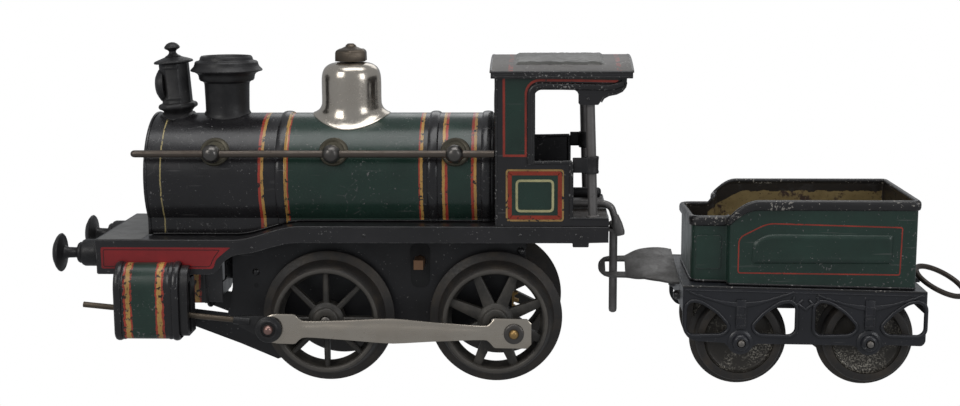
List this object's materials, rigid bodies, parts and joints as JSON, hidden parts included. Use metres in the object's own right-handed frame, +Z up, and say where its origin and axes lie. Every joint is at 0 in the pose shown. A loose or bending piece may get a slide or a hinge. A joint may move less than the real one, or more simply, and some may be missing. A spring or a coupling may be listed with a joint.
{
  "type": "model steam engine",
  "caption": "Gauge 1 tinplate clockwork model of a steam locomotive with its four-wheel tender, with turning wheels, working rods and a sprung motor.",
  "frame": {"origin": "middle of the train's length and width, at the level of the rail that the wheels stand on", "axes": "+X backwards along the train, towards the tender; +Y to the engine's right-hand side; +Z up"},
  "size_m": [0.3742, 0.0792, 0.1365],
  "materials": {
    "black_enamel": "glossy black enamel over tinplate, chipped",
    "green_lithograph": "bottle green and black lithographed tinplate with red and yellow lining",
    "roof_paint": "worn grey enamel",
    "cast_black": "satin black on turned and cast metal",
    "wheel_iron": "dark grey cast metal, bright at the rubbed edges",
    "nickel_plate": "warm polished nickel plate",
    "bare_steel": "dull browned steel",
    "gear_brass": "aged brass",
    "bronze": "brown tarnished bronze"
  },
  "bodies": {
    "engine": {"running_board": "black_enamel", "mechanism_plate_left": "black_enamel", "mechanism_plate_right": "black_enamel", "plate_spacer_front": "bare_steel", "plate_spacer_rear": "bare_steel", "cylinder_bracket": "black_enamel", "cylinder_left": "green_lithograph", "cylinder_right": "green_lithograph", "buffer_left": "cast_black", "buffer_right": "cast_black", "boiler_shell": "green_lithograph", "smokebox_front": "black_enamel", "chimney": "cast_black", "dome": "nickel_plate", "dome_nut": "bronze", "headlamp": "cast_black", "handrail_left": "bare_steel", "handrail_right": "bare_steel", "cab": "green_lithograph", "cab_roof": "roof_paint", "roof_ventilator": "roof_paint", "cab_post_left": "cast_black", "cab_post_right": "cast_black", "drawbar_pin": "bare_steel", "mainspring": "bare_steel"},
    "rear_wheelset": {"driving_wheel_rear_left": "wheel_iron", "driving_wheel_rear_right": "wheel_iron", "driving_axle_rear": "bare_steel", "axle_gear": "gear_brass", "crank_pin_left": "gear_brass", "crank_pin_right": "gear_brass"},
    "front_wheelset": {"driving_wheel_front_left": "wheel_iron", "driving_wheel_front_right": "wheel_iron", "driving_axle_front": "bare_steel"},
    "left_rod": {"connecting_rod_left": "nickel_plate", "piston_rod_left": "bare_steel", "crosshead_pin_left": "bare_steel"},
    "right_rod": {"connecting_rod_right": "nickel_plate", "piston_rod_right": "bare_steel", "crosshead_pin_right": "bare_steel"},
    "idler": {"idler_gear": "gear_brass"},
    "great_wheel": {"great_wheel": "gear_brass"},
    "winding_arbor": {"winding_arbor": "bronze"},
    "click": {"ratchet_click": "bare_steel"},
    "reversing_lever": {"reversing_lever": "bare_steel"},
    "brake_knob": {"brake_knob": "black_enamel"},
    "tender": {"tender_tub": "green_lithograph", "tender_footplate": "black_enamel", "tender_side_frame_left": "black_enamel", "tender_side_frame_right": "black_enamel", "tender_drawbar": "bare_steel"},
    "tender_front_wheelset": {"tender_wheel_front_left": "wheel_iron", "tender_wheel_front_right": "wheel_iron", "tender_axle_front": "bare_steel"},
    "tender_rear_wheelset": {"tender_wheel_rear_left": "wheel_iron", "tender_wheel_rear_right": "wheel_iron", "tender_axle_rear": "bare_steel"},
    "coupling_loop": {"coupling_loop": "bare_steel"}
  },
  "joints": [
    {"name": "drive_axle_spin", "type": "hinge", "parent": "engine", "child": "rear_wheelset", "pos_m": [-0.00704, 0, 0.0268], "axis": [0, 1, 0], "continuous": true},
    {"name": "front_axle_spin", "type": "hinge", "parent": "engine", "child": "front_wheelset", "pos_m": [-0.07504, 0, 0.0268], "axis": [0, 1, 0], "continuous": true},
    {"name": "left_rod_turn", "type": "hinge", "parent": "rear_wheelset", "child": "left_rod", "pos_m": [0.00046, 0, 0.02314], "axis": [0, 1, 0], "continuous": true},
    {"name": "right_rod_turn", "type": "hinge", "parent": "rear_wheelset", "child": "right_rod", "pos_m": [-0.00338, 0, 0.03431], "axis": [0, 1, 0], "continuous": true},
    {"name": "idler_spin", "type": "hinge", "parent": "engine", "child": "idler", "pos_m": [-0.01097, 0, 0.04641], "axis": [0, 1, 0], "continuous": true},
    {"name": "great_wheel_spin", "type": "hinge", "parent": "engine", "child": "great_wheel", "pos_m": [-0.03784, 0, 0.049], "axis": [0, 1, 0], "continuous": true},
    {"name": "winding_arbor_turn", "type": "hinge", "parent": "great_wheel", "child": "winding_arbor", "pos_m": [-0.03784, 0, 0.049], "axis": [0, 1, 0], "continuous": true},
    {"name": "click_lift", "type": "hinge", "parent": "great_wheel", "child": "click", "pos_m": [-0.02524, 0.0044, 0.047], "axis": [0, 1, 0], "range_deg": [0, 14], "stiffness_Nm_per_rad": 0.0008},
    {"name": "reversing_lever_pull", "type": "slide", "parent": "engine", "child": "reversing_lever", "axis": [1, 0, 0], "range_m": [0, 0.008]},
    {"name": "brake_knob_pull", "type": "slide", "parent": "engine", "child": "brake_knob", "axis": [1, 0, 0], "range_m": [-0.004, 0.004]},
    {"name": "tender_swing", "type": "hinge", "parent": "engine", "child": "tender", "pos_m": [0.04106, 0, 0.0434], "axis": [0, 0, 1], "range_deg": [-15, 15]},
    {"name": "tender_front_axle_spin", "type": "hinge", "parent": "tender", "child": "tender_front_wheelset", "pos_m": [0.09016, 0, 0.0194], "axis": [0, 1, 0], "continuous": true},
    {"name": "tender_rear_axle_spin", "type": "hinge", "parent": "tender", "child": "tender_rear_wheelset", "pos_m": [0.14056, 0, 0.0194], "axis": [0, 1, 0], "continuous": true},
    {"name": "coupling_loop_swing", "type": "hinge", "parent": "tender", "child": "coupling_loop", "pos_m": [0.16583, 0, 0.0416], "axis": [0, 1, 0], "range_deg": [-50, 0]}
  ],
  "couplings": [
    {"joint": "left_rod_turn", "follows": "drive_axle_spin", "ratio": -1},
    {"joint": "right_rod_turn", "follows": "drive_axle_spin", "ratio": -1},
    {"joint": "idler_spin", "follows": "drive_axle_spin", "ratio": -0.66667},
    {"joint": "great_wheel_spin", "follows": "drive_axle_spin", "ratio": 0.19048}
  ]
}
